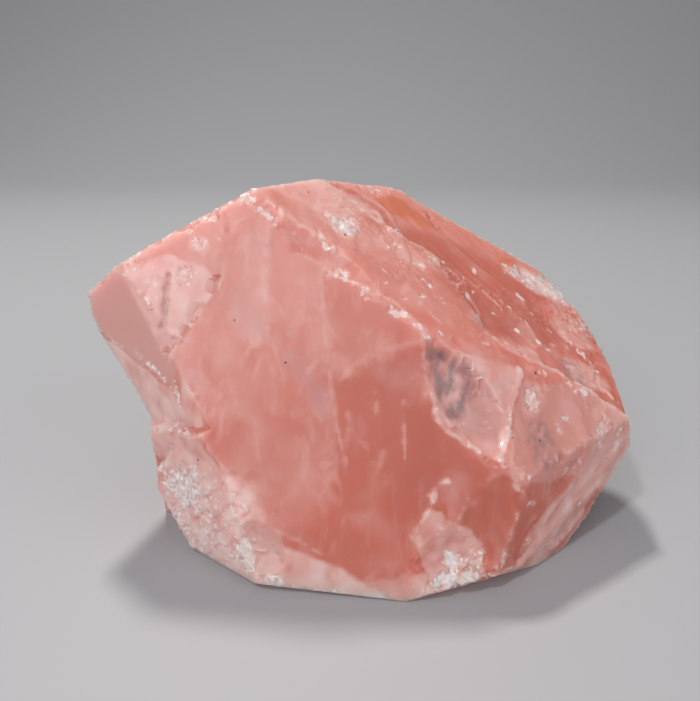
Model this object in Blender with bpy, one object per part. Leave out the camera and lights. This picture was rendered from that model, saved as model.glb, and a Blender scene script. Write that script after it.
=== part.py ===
"""Rough chunk of rose quartz, about 114 mm long, resting on its broken underside.

The block is split out of a blank by flat breaks, then conchoidal chips, ledges and flutes are taken
out of the faces. Sizes are in millimetres and angles in degrees. A face is given by the compass
bearing its outward side looks to (0 is +X, 90 is +Y) and by how far that side is tipped up.
The origin is on the resting face, +X runs along the longest extent, +Z is up and the large smooth
face looks to -Y.
"""

import math

import bmesh
import bpy
from mathutils import Matrix, Vector

MM = 0.001
BLANK_SIDE = 200
# A point nearer to a break than this counts as on it.
ON_BREAK = 0.0001

STONE_COLOUR = (0.72, 0.36, 0.33, 1.0)
STONE_ROUGHNESS = 0.3

SCOOP_SUBDIVISIONS = 3
# Height of a scoop's ellipsoid above its floor, in depths of the dish.
DISH_HEIGHT = 3

# Each break: name, bearing, rise, a point on it.
BODY_BREAKS = (
    ("left facet", -124, -1, (-49.1, -7.6, 53.6)),
    ("left underside", -131, -12, (-43.7, -11.7, 42.5)),
    ("left end", 160, 12, (-54.3, -4, 48.3)),
    ("left hollow", 178, -31, (-48, -6.5, 37)),
    ("upper slope", -40, 52, (-18.6, -9.5, 72.9)),
    ("right front", -57, 34, (20.8, -24.3, 36.5)),
    ("lower right", -49, -9, (46.7, -20.6, 20.1)),
    ("lower right underside", -53, 1, (47.4, -17.3, 7.4)),
    ("right end", -5, 14, (59, -2.8, 27)),
    ("right underside", 0, -40, (57, -10.4, 14)),
    ("crown", 146, 80, (-12.1, -1.3, 72.7)),
    ("crown back", 72, 78, (3, 14.8, 70.7)),
    ("upper back", 80, 25, (29, 24.9, 58.6)),
    ("right shoulder", 60, -13, (50.2, 23.8, 46)),
    ("right back", 30, -10, (55.5, 16.8, 39.9)),
    ("right rim", 12, -3, (58, 8.5, 33.7)),
    ("upper left", 150, 57, (-31.3, -10.2, 65.7)),
    ("front underside", -68, -45, (16.7, -35, 2.4)),
)
KNEE_BREAKS = (
    ("side", -129, -12, (-28.1, -23, 27.2)),
    ("roof", -150, 55, (-41.4, -9, 25.6)),
    ("toe", 178, 2, (-41.5, -10, 20)),
    ("top", 0, 90, (0, 0, 38)),
    ("heel", 135, 15, (-40, -1, 22)),
    ("inner end", 0, 0, (-6, 0, 0)),
)
FOOT_BREAKS = (
    ("side", -128, 5, (-21.7, -27.7, 14.4)),
    ("roof", 172, 40, (-40.6, -11, 15.3)),
    ("toe", 178, 2, (-40.5, -13, 13.1)),
    ("toe underside", -152, -20, (-36.3, -17.5, 6.6)),
    ("side underside", -128, -35, (-25.6, -26.2, 2.2)),
    ("top", 0, 90, (0, 0, 26)),
    ("inner end", 0, 0, (8, 0, 0)),
)
# These run across body, knee and foot alike.
SHARED_BREAKS = (
    ("large smooth face", -95, 18, (9.3, -35, 0.5)),
    ("left front underside", -100, -50, (-9.4, -33, 1.4)),
    ("back left", 132, 22, (-34, 22, 48)),
    ("back left side", 156, -10, (-42.5, 4, 14)),
    ("back", 92, -5, (0, 42, 30)),
    ("back lower left", 128, -28, (-30, 28, 16)),
    ("back underside", 95, -45, (0, 38, 14)),
    ("resting face", 0, -90, (0, 0, 0)),
)
# A ledge takes off everything on the outer side of its floor and inside its walls, so its breaks
# look into the stone.
LEDGES = (
    ("upper recess", (("floor", 143, -53, (7.8, 4.3, 62)), ("wall", -110, -15, (8.2, 3.9, 63.6)))),
    (
        "lower recess",
        (
            ("floor", 138, -50, (33.3, -7.8, 39.9)),
            ("upper wall", -138, 6, (23.2, -4, 50.7)),
            ("lower wall", -100, -21, (40.6, -9.5, 37.5)),
        ),
    ),
    ("back ledge", (("floor", -86, 4, (22, 39.4, 30)), ("wall", 198, -25, (19, 40, 36)))),
    (
        "pale patch",
        (("floor", 84, -15, (-32, -12.5, 58.4)), ("wall", -17, -33, (-28.9, -15.4, 50.3))),
    ),
)
# Each scoop: name, centre on the face, bearing and rise that the face looks to, length, width,
# depth, and how far its length is turned from level, anticlockwise from outside.
SCOOPS = (
    ("window", (22.5, -24.5, 36), -74, 29, 31, 17, 3.4, -58),
    ("lower right chip", (22, -33, 14.5), -74, 8, 32, 22, 2.4, 50),
    ("fan chip", (18.4, -33.5, 10), -86, 4, 18, 14, 2.6, 30),
    ("bevel chip", (-15.5, -30, 9.1), -105, 12, 11, 9, 0.9, -30),
    ("upper ridge chip", (-6.3, -13.9, 61.5), -70, 42, 22, 6, 1, -38),
    ("lower ridge chip", (8, -18.7, 51.7), -70, 42, 9, 5, 0.9, -38),
    ("inner flute", (39.1, -24.8, 8.6), -49, -9, 24, 4.5, 0.8, 30),
    ("outer flute", (45.1, -19, 5.9), -49, -9, 27, 4, 0.8, 23),
    ("upper flute", (33.5, -31, 14.9), -49, -9, 20, 5, 0.9, 7),
    ("back hollow", (-4, 42, 32), 92, -2, 44, 28, 4, 25),
    ("back left chip", (-36, 21, 47), 132, 22, 34, 20, 2.6, -35),
    ("heel chip", (-34, 23, 13), 130, -20, 24, 13, 2, 10),
    ("right back chip", (52, 21, 32), 42, -12, 26, 18, 3, 55),
    ("upper left chip", (-23, 6, 68.5), 150, 57, 28, 11, 1.5, 15),
)


def outward(bearing, rise):
    """Unit vector that looks to a bearing and is tipped up by a rise."""
    around = math.radians(bearing)
    up = math.radians(rise)
    return Vector((math.cos(around) * math.cos(up), math.sin(around) * math.cos(up), math.sin(up)))


def cleave(bm, breaks):
    """Splits off everything outside each break and closes the face that it leaves."""
    for _, bearing, rise, through in breaks:
        cut = bmesh.ops.bisect_plane(
            bm,
            geom=bm.verts[:] + bm.edges[:] + bm.faces[:],
            dist=ON_BREAK * MM,
            plane_co=Vector(through) * MM,
            plane_no=outward(bearing, rise),
            clear_outer=True,
        )
        rim = [piece for piece in cut["geom_cut"] if isinstance(piece, bmesh.types.BMEdge)]
        bmesh.ops.contextual_create(bm, geom=rim)
    bmesh.ops.recalc_face_normals(bm, faces=bm.faces)


def new_object(name, bm, collection):
    """Turns a bmesh into an object of a collection."""
    mesh = bpy.data.meshes.new(name)
    bm.to_mesh(mesh)
    bm.free()
    obj = bpy.data.objects.new(name, mesh)
    collection.objects.link(obj)
    return obj


def block(name, breaks, collection):
    """Blank cube with the given breaks."""
    bm = bmesh.new()
    bmesh.ops.create_cube(bm, size=BLANK_SIDE * MM)
    cleave(bm, breaks)
    return new_object(name, bm, collection)


def scoop(name, at, bearing, rise, length, width, depth, spin, collection):
    """Ellipsoid that leaves a dish of the given length, width and depth in a face."""
    normal = outward(bearing, rise)
    level = Vector((0, 0, 1)).cross(normal).normalized()
    upward = normal.cross(level)
    turn = math.radians(spin)
    along = level * math.cos(turn) + upward * math.sin(turn)
    across = normal.cross(along)
    axes = Matrix((along, across, normal)).transposed().to_4x4()
    rim = math.sqrt(1 - ((DISH_HEIGHT - 1) / DISH_HEIGHT) ** 2)
    size = Vector((length / 2 / rim, width / 2 / rim, depth * DISH_HEIGHT)) * MM
    centre = Vector(at) * MM + normal * (DISH_HEIGHT - 1) * depth * MM
    bm = bmesh.new()
    bmesh.ops.create_icosphere(bm, subdivisions=SCOOP_SUBDIVISIONS, radius=1)
    bmesh.ops.scale(bm, vec=size, verts=bm.verts)
    bmesh.ops.transform(bm, matrix=Matrix.Translation(centre) @ axes, verts=bm.verts)
    return new_object(name, bm, collection)


def combine(obj, other, operation):
    """Adds an exact Boolean modifier."""
    step = obj.modifiers.new(other.name, "BOOLEAN")
    step.operation = operation
    step.solver = "EXACT"
    step.object = other


def applied(obj):
    """The object's shape with its modifiers, as a bmesh."""
    bpy.context.view_layer.update()
    bm = bmesh.new()
    bm.from_mesh(obj.evaluated_get(bpy.context.evaluated_depsgraph_get()).to_mesh())
    return bm


def new_collection(name):
    """Collection linked to the scene."""
    collection = bpy.data.collections.new(name)
    bpy.context.scene.collection.children.link(collection)
    return collection


def stone_shape(collection):
    """Body, knee and foot joined in one, with the breaks that run across all three."""
    rough = block("body", BODY_BREAKS, collection)
    combine(rough, block("knee", KNEE_BREAKS, collection), "UNION")
    combine(rough, block("foot", FOOT_BREAKS, collection), "UNION")
    bm = applied(rough)
    rough.modifiers.clear()
    cleave(bm, SHARED_BREAKS)
    return bm


def quartz():
    """Pink quartz, smooth where it is broken flat."""
    material = bpy.data.materials.new("rose_quartz")
    material.use_nodes = True
    shader = material.node_tree.nodes["Principled BSDF"]
    shader.inputs["Base Color"].default_value = STONE_COLOUR
    shader.inputs["Roughness"].default_value = STONE_ROUGHNESS
    shader.inputs["Metallic"].default_value = 0
    return material


def main():
    for obj in list(bpy.data.objects):
        bpy.data.objects.remove(obj)
    pieces = new_collection("rose quartz chunk")
    cutters = new_collection("cutters")

    stone = new_object("rose_quartz", stone_shape(cutters), pieces)
    for name, breaks in LEDGES:
        combine(stone, block(name, breaks, cutters), "DIFFERENCE")
    for sizes in SCOOPS:
        combine(stone, scoop(*sizes, cutters), "DIFFERENCE")
    stone.data.materials.append(quartz())

    for cutter in cutters.objects:
        cutter.hide_render = True
        cutter.display_type = "WIRE"


main()
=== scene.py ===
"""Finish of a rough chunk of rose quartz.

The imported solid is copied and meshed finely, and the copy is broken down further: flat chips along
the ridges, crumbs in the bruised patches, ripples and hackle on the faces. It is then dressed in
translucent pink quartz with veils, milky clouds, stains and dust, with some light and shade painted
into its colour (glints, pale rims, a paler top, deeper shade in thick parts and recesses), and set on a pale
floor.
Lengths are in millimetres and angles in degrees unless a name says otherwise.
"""

from __future__ import annotations

import logging
import math
import random
from dataclasses import dataclass, field
from enum import Enum
from typing import Any, Sequence, Union

import bmesh
import bpy
import numpy as np
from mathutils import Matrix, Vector, noise
from mathutils.bvhtree import BVHTree
from mathutils.kdtree import KDTree


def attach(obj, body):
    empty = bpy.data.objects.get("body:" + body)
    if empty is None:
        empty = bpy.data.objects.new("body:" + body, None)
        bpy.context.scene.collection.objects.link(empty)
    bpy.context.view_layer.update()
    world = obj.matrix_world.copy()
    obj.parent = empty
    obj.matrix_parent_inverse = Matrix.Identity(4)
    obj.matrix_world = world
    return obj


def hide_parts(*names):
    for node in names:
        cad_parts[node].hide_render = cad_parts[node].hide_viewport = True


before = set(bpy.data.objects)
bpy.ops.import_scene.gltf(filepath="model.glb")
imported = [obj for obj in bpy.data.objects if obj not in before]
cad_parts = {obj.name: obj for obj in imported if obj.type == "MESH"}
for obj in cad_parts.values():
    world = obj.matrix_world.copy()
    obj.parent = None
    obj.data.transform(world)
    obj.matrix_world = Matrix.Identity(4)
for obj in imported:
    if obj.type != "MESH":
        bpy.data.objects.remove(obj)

log = logging.getLogger("rose_quartz")

MM = 0.001
# Cosine over which an area's effect fades as the surface turns away from it.
FACING_FADE = 0.06
Triple = tuple[float, float, float]


def outward(bearing: float, rise: float) -> Vector:
    """Gives the unit vector that looks to a bearing and is tipped up by a rise.

    Args:
        bearing: Compass bearing, 0 along +X and 90 along +Y.
        rise: Tilt above level.

    Returns:
        The unit vector.
    """
    around = math.radians(bearing)
    up = math.radians(rise)
    return Vector((math.cos(around) * math.cos(up), math.sin(around) * math.cos(up), math.sin(up)))


def smoothstep(values: np.ndarray, low: float, high: float) -> np.ndarray:
    """Eases values from 0 at low to 1 at high.

    Args:
        values: Any numbers.
        low: Value that gives 0.
        high: Value that gives 1, which may be under low.

    Returns:
        An array of the same shape, from 0 to 1.
    """
    part = np.clip((values - low) / (high - low), 0, 1)
    return part * part * (3 - 2 * part)


def near_to(points: np.ndarray, centre: np.ndarray, reach: float) -> np.ndarray:
    """Gives the numbers of the points inside a cube about a centre.

    Args:
        points: Points in millimetres, one a row.
        centre: Middle of the cube.
        reach: Half its side.

    Returns:
        Indices of rows.
    """
    found = np.flatnonzero(np.abs(points[:, 0] - centre[0]) < reach)
    found = found[np.abs(points[found, 1] - centre[1]) < reach]
    return found[np.abs(points[found, 2] - centre[2]) < reach]


def away_from(points: np.ndarray, start: Sequence[float], end: Sequence[float]) -> np.ndarray:
    """Gives the distance of each point from the straight line between two others.

    Args:
        points: Points, one a row.
        start: One end of the line.
        end: Other end.

    Returns:
        One distance a point.
    """
    run = np.array(end) - np.array(start)
    offset = points - np.array(start)
    along = np.clip(offset @ run / (run @ run), 0, 1)
    return np.linalg.norm(offset - along[:, None] * run, axis=1)


def looking(normals: np.ndarray, way: Sequence[float], least: float) -> np.ndarray:
    """Gives 1 where the cosine between a normal and a direction is over the least one, and 0 elsewhere."""
    return smoothstep(normals @ np.array(way), least - FACING_FADE, least)


def noise_at(points: np.ndarray, size: float, shift: float = 0.0, octaves: int = 1) -> np.ndarray:
    """Reads smooth noise at points.

    Args:
        points: Points in millimetres, one a row.
        size: Width of a lump.
        shift: Moves the pattern, so that two calls differ.
        octaves: Number of finer layers, each half as wide and half as strong.

    Returns:
        One number a point, about -1 to 1.
    """
    total = np.zeros(len(points))
    strength = 1.0
    for octave in range(octaves):
        at = points * (2**octave / size) + shift
        total += strength * np.fromiter((noise.noise(Vector(p)) for p in at), float, len(at))
        strength /= 2
    return total


def stretched(points: np.ndarray, lead: Triple, times: float) -> np.ndarray:
    """Squeezes points along a direction, so that a pattern read there is drawn out along it.

    Args:
        points: Points, one a row.
        lead: The direction.
        times: How much longer than wide the pattern becomes.

    Returns:
        The moved points.
    """
    way = np.array(lead, float)
    way /= np.linalg.norm(way)
    return points - (1 - 1 / times) * (points @ way)[:, None] * way


def facets_at(points: np.ndarray, size: float, shift: float = 0.0) -> np.ndarray:
    """Breaks space into cells and gives each a flat slope of its own.

    Args:
        points: Points in millimetres, one a row.
        size: Width of a cell.
        shift: Moves the pattern.

    Returns:
        Height of the cell's slope at each point, about -size / 2 to size / 2.
    """
    apart = 7.3  # Takes neighbouring cells to places where the noise differs.
    step = 0.35  # Height of a cell's middle, as a share of its slope.
    heights = np.zeros(len(points))
    for index, point in enumerate(points):
        at = Vector(point) / size + Vector((shift, shift, shift))
        cell = noise.voronoi(at)[1][0]
        slope = noise.noise_vector(cell * apart)
        heights[index] = (slope.dot(at - cell) + step * slope.x) * size
    return heights


def drawn(draw: random.Random, size: tuple[float, float]) -> float:
    """Draws a size at random about a middling one, which comes with the spread of its logarithm."""
    return draw.lognormvariate(math.log(size[0]), size[1])


def place(name: str, data: bpy.types.ID) -> bpy.types.Object:
    """Puts a mesh, a lamp or a camera in the scene as an object at the origin."""
    obj = bpy.data.objects.new(name, data)
    bpy.context.scene.collection.objects.link(obj)
    return obj


def triangles_of(obj: bpy.types.Object) -> int:
    """Counts the triangles of an object's mesh."""
    return sum(len(face.vertices) - 2 for face in obj.data.polygons)


@dataclass(frozen=True)
class Pattern:
    """Smooth noise that eases from 0 to 1 between two of its levels.

    Attributes:
        size: Width of a lump.
        shift: Moves the pattern, so that two of them differ.
        octaves: Number of finer layers.
        low: Level that gives 0.
        high: Level that gives 1.
        lead: Direction that the lumps are drawn out along.
        drawn_out: How much longer than wide a lump is.
    """

    size: float
    shift: float
    octaves: int
    low: float
    high: float
    lead: Triple = (0, 0, 1)
    drawn_out: float = 1.0

    def at(self, points: np.ndarray) -> np.ndarray:
        """Gives the pattern's strength at points, from 0 to 1."""
        noisy = noise_at(stretched(points, self.lead, self.drawn_out), self.size, self.shift, self.octaves)
        return smoothstep(noisy, self.low, self.high)


CRUMBLING = Pattern(5, 5.5, 1, -0.2, 0.3)
SMOKE_STREAKS = Pattern(1.5, 4.4, 4, -0.9, 0.6, (0.35, -0.2, 0.9), 7)
RUST_BLOTCHES = Pattern(6, 2.7, 2, -0.5, 0.4)
CLOUD_PUFFS = Pattern(9, 5.1, 3, 0.05, 0.9)
CLOUD_WISPS = Pattern(2.5, 7.1, 2, 0.25, 1, (0.1, 0.3, 1), 5)


class Tint(Enum):
    """What a patch does to the stone; the value names its numbers at the vertices."""

    # Crushed white, which in places also paints glints.
    BRUISE = "bruise"
    # Milky pale, which in places also paints light on shaded parts.
    MILK = "milk"
    # Dusky rose, which on the left end also paints the facet's shade.
    ROSE = "rose"
    LILAC = "lilac"
    SMOKE = "smoke"
    # Deep coral, which in places also paints shade: the thick middle of the front face, the recesses and a
    # groove.
    DEEP = "deep"
    RUST = "rust"


# The tables of areas use these short names.
BRUISE, MILK, ROSE, LILAC, SMOKE, DEEP, RUST = Tint


@dataclass(frozen=True)
class Patch:
    """Ellipsoid of influence on the stone, such as a bruise.

    Attributes:
        at: Centre.
        bearing: Bearing that the face under it looks to.
        rise: Tilt of that face.
        length: Width along the face.
        width: Width across the face.
        spin: How far its length is turned from level, anticlockwise from outside.
        strength: Greatest effect, from 0 to 1.
        tint: What it does.
        facing: Least cosine between a surface and the face for the patch to reach it.
    """

    at: Triple
    bearing: float
    rise: float
    length: float
    width: float
    spin: float = 0.0
    strength: float = 1.0
    tint: Tint = Tint.BRUISE
    facing: float = 0.0

    # Part of the radius over which it fades out, and how ragged its outline is, in radii.
    SOFT = 0.35
    RAGGED = 0.3
    # What crushing adds to that, in lumps of this width.
    CRUSHED = 0.55
    CRUMB = 0.9

    def axes(self) -> tuple[Vector, Vector, Vector]:
        """Gives the unit vectors along it, across it and out of the face."""
        normal = outward(self.bearing, self.rise)
        level = Vector((0, 0, 1)).cross(normal).normalized()
        upward = normal.cross(level)
        turn = math.radians(self.spin)
        along = level * math.cos(turn) + upward * math.sin(turn)
        return along, normal.cross(along), normal

    def weight(self, points: np.ndarray, normals: np.ndarray) -> np.ndarray:
        """Gives the patch's effect at each point.

        Args:
            points: Points in millimetres.
            normals: Unit normals there.

        Returns:
            One number a point, from 0 to its strength.
        """
        weight = np.zeros(len(points))
        longest = max(self.length, self.width)
        near = near_to(points, np.array(self.at), 0.8 * longest)
        along, across, normal = self.axes()
        offset = points[near] - np.array(self.at)
        u = offset @ np.array(along) / (self.length / 2)
        v = offset @ np.array(across) / (self.width / 2)
        w = offset @ np.array(normal) / (longest / 2)
        lump = max(1.2, min(self.length, self.width) / 2)
        ragged = self.RAGGED * noise_at(points[near], lump, self.length)
        if self.tint is Tint.BRUISE:
            ragged += self.CRUSHED * noise_at(points[near], self.CRUMB, self.width, 2)
        reach = np.sqrt(u * u + v * v + w * w) + ragged
        inside = self.strength * smoothstep(reach, 1, 1 - self.SOFT)
        weight[near] = inside * looking(normals[near], normal, self.facing)
        return weight


@dataclass(frozen=True)
class Pane:
    """Crisp-edged area on a face, such as a healed crack or a window.

    Attributes:
        corners: Its corners in order, which make a convex outline.
        bearing: Bearing that the face under it looks to.
        rise: Tilt of that face.
        strength: Greatest effect, from 0 to 1.
        tint: What it does.
        soft: Distance over which it fades at its outline.
        facing: Least cosine between a surface and the face for the pane to reach it.
    """

    corners: tuple[Triple, ...]
    bearing: float
    rise: float
    strength: float
    tint: Tint
    soft: float = 0.4
    facing: float = 0.3

    # How far its outline wanders, and the width of a bend in it.
    RAGGED = 0.5
    LUMP = 3.0

    def weight(self, points: np.ndarray, normals: np.ndarray) -> np.ndarray:
        """Gives the pane's effect at each point.

        Args:
            points: Points in millimetres.
            normals: Unit normals there.

        Returns:
            One number a point, from 0 to its strength.
        """
        weight = np.zeros(len(points))
        corners = np.array(self.corners)
        middle = corners.mean(axis=0)
        normal = np.array(outward(self.bearing, self.rise))
        near = near_to(points, middle, np.linalg.norm(corners - middle, axis=1).max() + 2)
        inside = np.full(len(near), np.inf)
        for start, end in zip(corners, np.roll(corners, -1, axis=0)):
            inward = np.cross(normal, end - start)
            inward *= math.copysign(1, inward @ (middle - start)) / np.linalg.norm(inward)
            inside = np.minimum(inside, (points[near] - start) @ inward)
        inside += self.RAGGED * noise_at(points[near], self.LUMP, middle.sum(), 2)
        shown = self.strength * smoothstep(inside, -self.soft, self.soft)
        weight[near] = shown * looking(normals[near], normal, self.facing)
        return weight


@dataclass(frozen=True)
class Thread:
    """Thin line along the surface, such as a crack, a lip or a row of chips.

    Attributes:
        stops: Points that it runs through.
        width: Its width.
        strength: Greatest effect, from 0 to 1.
        tint: What it does.
        lift: Height to which the stone stands up along it, under 0 for a groove.
    """

    stops: tuple[Triple, ...]
    width: float
    strength: float
    tint: Tint = Tint.MILK
    lift: float = 0.0

    # How far it wanders, and the widths of a bend and of a gap in it.
    WANDER = 0.6
    BEND = 2.2
    GAP = 1.6

    def weight(self, points: np.ndarray, normals: np.ndarray) -> np.ndarray:
        """Gives the line's effect at each point.

        Args:
            points: Points in millimetres.
            normals: Unit normals there, which don't count.

        Returns:
            One number a point, from 0 to its strength.
        """
        weight = np.zeros(len(points))
        for start, end in zip(self.stops, self.stops[1:]):
            run = np.array(end) - np.array(start)
            near = near_to(points, np.array(start) + run / 2, np.abs(run).max() / 2 + self.width + 1.5)
            away = away_from(points[near], start, end)
            away += self.WANDER * noise_at(points[near], self.BEND, self.width, 2)
            line = smoothstep(away, self.width * 0.8, self.width * 0.25)
            if self.tint is Tint.BRUISE:
                gaps = noise_at(points[near], self.GAP, self.width + self.strength)
                line *= smoothstep(gaps, -0.3, 0.15)
            weight[near] = np.maximum(weight[near], line)
        return self.strength * weight


class Grain(Enum):
    """Kind of relief on a broken face."""

    LUMPS = "lumps"
    STRIAE = "striae"
    WAVES = "waves"
    STEPS = "steps"


@dataclass(frozen=True)
class Relief:
    """Relief that a face has in one patch.

    Attributes:
        face: Where it is.
        grain: Its kind.
        size: Width of a lump, a ridge, a wave or a step.
        height: Its height.
        lead: Direction of the striae or across the steps, or the point that the waves spread from.
        patchy: Whether it comes and goes over the face.
    """

    face: Patch
    grain: Grain
    size: float
    height: float
    lead: Triple = (0, 0, 1)
    patchy: bool = False

    # Length of a ridge in its widths, and the part of a step that its riser starts at.
    DRAWN_OUT = 7
    RISER = 0.88

    def lift(self, points: np.ndarray) -> np.ndarray:
        """Gives the height of the relief at points, in millimetres."""
        if self.patchy:
            where = smoothstep(noise_at(points, 5 * self.size, self.height + self.size), -0.05, 0.25)
            return where * self.shape(points)
        return self.shape(points)

    def shape(self, points: np.ndarray) -> np.ndarray:
        """Gives the height of the relief where it is whole."""
        if self.grain is Grain.STRIAE:
            ridges = np.abs(noise_at(stretched(points, self.lead, self.DRAWN_OUT), self.size, 2.2, 2))
            return self.height * (0.5 - 2 * ridges)
        if self.grain is Grain.STEPS:
            way = points @ np.array(self.lead) / self.size + 0.7 * noise_at(points, 2 * self.size, 4.1, 2)
            ramp = way - np.floor(way)
            return self.height * (ramp - smoothstep(ramp, self.RISER, 1)) - self.height / 2
        if self.grain is Grain.WAVES:
            away = np.linalg.norm(points - np.array(self.lead), axis=1)
            away += 0.4 * self.size * noise_at(points, 4 * self.size, 8.8)
            return self.height * np.sin(math.tau * away / self.size)
        return self.height * noise_at(points, self.size, 6.6, 2)


@dataclass(frozen=True)
class Veil:
    """Healed crack inside the stone, seen as a paler sheet with one crisp edge.

    Attributes:
        start: One end of the crisp edge.
        end: Other end.
        spread: How far the sheet fades away from that edge, to the right of the way from start to end.
        strength: Greatest effect.
    """

    start: Triple
    end: Triple
    spread: float
    strength: float

    def weight(self, points: np.ndarray) -> np.ndarray:
        """Gives how strongly the sheet shows at each point.

        Args:
            points: Points in millimetres.

        Returns:
            One number a point, from 0 to its strength.
        """
        start = np.array(self.start)
        run = np.array(self.end) - start
        length = np.linalg.norm(run)
        across = np.cross(run / length, np.array(outward(*FRONT)))
        across *= -1 / np.linalg.norm(across)
        weight = np.zeros(len(points))
        near = near_to(points, start + run / 2, length / 2 + self.spread + 3)
        offset = points[near] - start
        side = offset @ across + 0.7 * noise_at(points[near], 6, start.sum())
        way = offset @ run / length
        sheet = smoothstep(side, -0.25, 0.25) * smoothstep(side, self.spread, 0)
        ends = smoothstep(way, -1, 3) * smoothstep(way, length + 1, length - 3)
        patchy = 0.75 + 0.5 * noise_at(points[near], 4, self.spread, 2)
        weight[near] = self.strength * sheet * ends * np.clip(patchy, 0, 1.3)
        return weight


class Mesh:
    """Vertices of an object's mesh as one array in millimetres.

    Attributes:
        obj: The object.
        points: Its vertices.
    """

    def __init__(self, obj: bpy.types.Object) -> None:
        """Reads the vertices of an object."""
        self.obj = obj
        count = len(obj.data.vertices)
        flat = np.empty(count * 3, np.float32)
        obj.data.vertices.foreach_get("co", flat)
        self.points = flat.reshape(count, 3).astype(float) / MM

    def store(self) -> None:
        """Writes the points back to the object."""
        self.obj.data.vertices.foreach_set("co", (self.points * MM).astype(np.float32).ravel())
        self.obj.data.update()

    def normals(self) -> np.ndarray:
        """Gives the smooth normals of the points as they are now."""
        self.store()
        flat = np.empty(self.points.size, np.float32)
        self.obj.data.vertex_normals.foreach_get("vector", flat)
        return flat.reshape(-1, 3).astype(float)

    def edges(self) -> np.ndarray:
        """Gives the numbers of the two vertices of each edge, one edge a row."""
        ends = np.empty(len(self.obj.data.edges) * 2, np.int32)
        self.obj.data.edges.foreach_get("vertices", ends)
        return ends.reshape(-1, 2)

    def write(self, name: str, values: np.ndarray) -> None:
        """Stores one number a vertex under a name that a material can read."""
        layer = self.obj.data.attributes.new(name, "FLOAT", "POINT")
        layer.data.foreach_set("value", values.astype(np.float32))


@dataclass(frozen=True)
class Crease:
    """Convex edge of the solid.

    Attributes:
        start: One end.
        end: Other end.
        sides: Directions of its two faces.
        fold: Angle between them.
    """

    start: Vector
    end: Vector
    sides: tuple[Vector, Vector]
    fold: float


@dataclass(frozen=True)
class Chip:
    """Small piece that has come off a ridge.

    Attributes:
        at: Point on the floor of the chip.
        normal: Direction that the floor looks to.
        reach: Half its length.
    """

    at: Vector
    normal: Vector
    reach: float

    # How much its outline wanders, as a share of its reach.
    RAGGED = 0.5

    def take(self, points: np.ndarray) -> None:
        """Moves the points that it takes off down to its flat floor, in place."""
        middle = np.array(self.at)
        normal = np.array(self.normal)
        near = near_to(points, middle, self.reach)
        offset = points[near] - middle
        height = offset @ normal
        ragged = 1 + self.RAGGED * noise_at(points[near], self.reach, middle.sum())
        around = np.linalg.norm(offset, axis=1) * ragged
        taken = (height > 0) & (around < self.reach)
        points[near[taken]] -= height[taken][:, None] * normal


# Bearing and rise of the stone's main faces.
FRONT = (-95, 18)
SLOPE = (-40, 52)
LENS = (-57, 34)
FOOT = (-128, 5)
LEFT_END = (-124, -1)
FLANK = (-130, -12)
LOWER_RIGHT = (-50, -4)

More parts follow.
